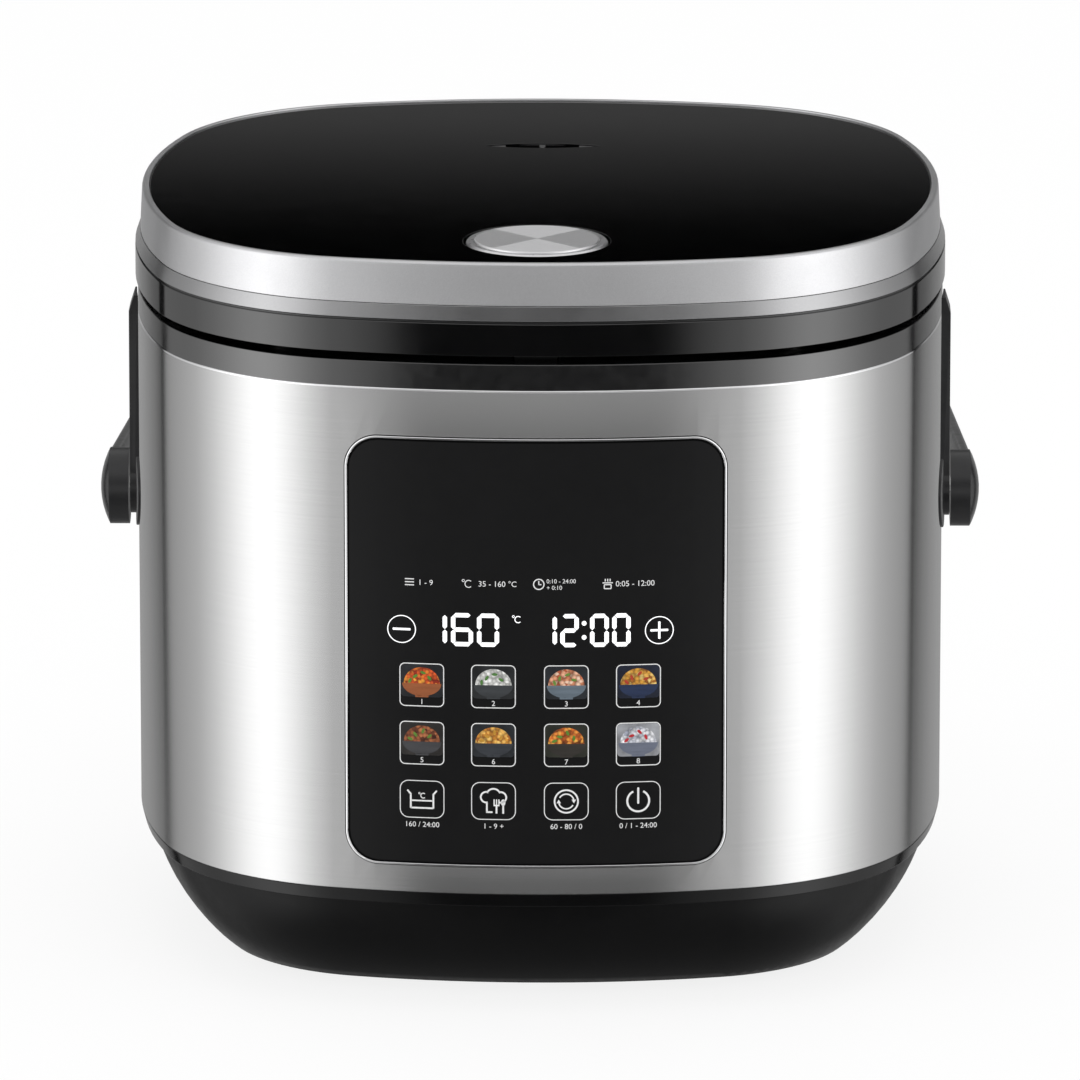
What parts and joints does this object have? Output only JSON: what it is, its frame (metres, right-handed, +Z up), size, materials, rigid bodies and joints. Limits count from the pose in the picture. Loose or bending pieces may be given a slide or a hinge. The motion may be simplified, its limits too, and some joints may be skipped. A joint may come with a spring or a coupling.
{
  "type": "multicooker",
  "caption": "Rounded-square countertop multicooker with a hinged lid, push-button latch, steam valve, touch panel and folding bail handle.",
  "frame": {"origin": "on the table under the middle of the whole object's box, handle included", "axes": "+Z up, -Y towards the front with the control panel, +X to the right seen from the front"},
  "size_m": [0.2978, 0.318, 0.2555],
  "materials": {
    "housing_black": "satin moulded",
    "trim_black": "gloss moulded",
    "rubber": "matte",
    "screw_steel": "zinc plated",
    "steel_wrap": "brushed round the body",
    "bowl_coating": "dark non-stick coating",
    "jacket_metal": "bare sheet",
    "heater_cast": "cast",
    "panel_gloss": "gloss black",
    "bright_chrome": "polished",
    "board_green": "circuit board",
    "component_dark": "moulded",
    "pin_metal": "plated",
    "silver_paint": "satin silver",
    "plate_gloss": "gloss black",
    "spun_metal": "spun",
    "spring_steel": "drawn wire",
    "seal_silicone": "silicone",
    "clear_cup": "smoky translucent"
  },
  "bodies": {
    "body": {"base_shell": "housing_black", "bottom_cover": "housing_black", "rubber_feet": "rubber", "base_screws": "screw_steel", "lower_trim_ring": "trim_black", "steel_wrap": "steel_wrap", "rear_panel": "housing_black", "body_rim": "trim_black", "cooking_bowl": "bowl_coating", "inner_jacket": "jacket_metal", "heating_plate": "heater_cast", "sensor_guide": "jacket_metal", "sensor_spring": "spring_steel", "control_panel": "panel_gloss", "panel_frame": "bright_chrome", "panel_carrier": "housing_black", "touch_board": "board_green", "display_module": "component_dark", "power_board": "board_green", "board_components": "component_dark", "power_inlet": "housing_black", "inlet_pins": "pin_metal", "hinge_housing": "housing_black", "hinge_pin": "screw_steel", "lid_spring": "spring_steel", "latch_strike": "screw_steel", "handle_lug_right": "housing_black", "handle_lug_left": "housing_black", "handle_pins": "screw_steel"},
    "lid": {"lid_shell": "trim_black", "lid_rim": "silver_paint", "lid_top_plate": "plate_gloss", "lid_base": "housing_black", "lid_screws": "screw_steel", "inner_lid": "jacket_metal", "inner_lid_knob": "seal_silicone", "lid_gasket": "seal_silicone", "steam_duct": "housing_black", "button_well": "housing_black", "button_spring": "spring_steel"},
    "button": {"button_cap": "bright_chrome", "button_face": "spun_metal"},
    "latch": {"latch_slide": "component_dark"},
    "valve": {"steam_valve": "housing_black"},
    "cup": {"condensate_cup": "clear_cup"},
    "handle": {"carry_handle": "housing_black", "handle_caps": "housing_black"},
    "sensor": {"sensor_plunger": "jacket_metal"}
  },
  "joints": [
    {"name": "lid_hinge", "type": "hinge", "parent": "body", "child": "lid", "pos_m": [0, 0.11874, 0.224], "axis": [-1, 0, 0], "range_deg": [0, 95]},
    {"name": "button_press", "type": "slide", "parent": "lid", "child": "button", "axis": [0, 0, -1], "range_m": [0, 0.0025], "stiffness_N_per_m": 900, "deforming": ["button_spring"]},
    {"name": "latch_draw", "type": "slide", "parent": "lid", "child": "latch", "axis": [0, 1, 0], "range_m": [0, 0.0025]},
    {"name": "valve_lift", "type": "slide", "parent": "lid", "child": "valve", "axis": [0, 0, 1], "range_m": [0, 0.03]},
    {"name": "cup_pull", "type": "slide", "parent": "body", "child": "cup", "axis": [0, 1, 0], "range_m": [0, 0.04]},
    {"name": "handle_swing", "type": "hinge", "parent": "body", "child": "handle", "pos_m": [0, -0.04026, 0.152], "axis": [1, 0, 0], "range_deg": [0, 95]},
    {"name": "sensor_dip", "type": "slide", "parent": "body", "child": "sensor", "axis": [0, 0, -1], "range_m": [0, 0.003], "stiffness_N_per_m": 600, "deforming": ["sensor_spring"]}
  ],
  "couplings": [
    {"joint": "latch_draw", "follows": "button_press", "ratio": 1}
  ]
}
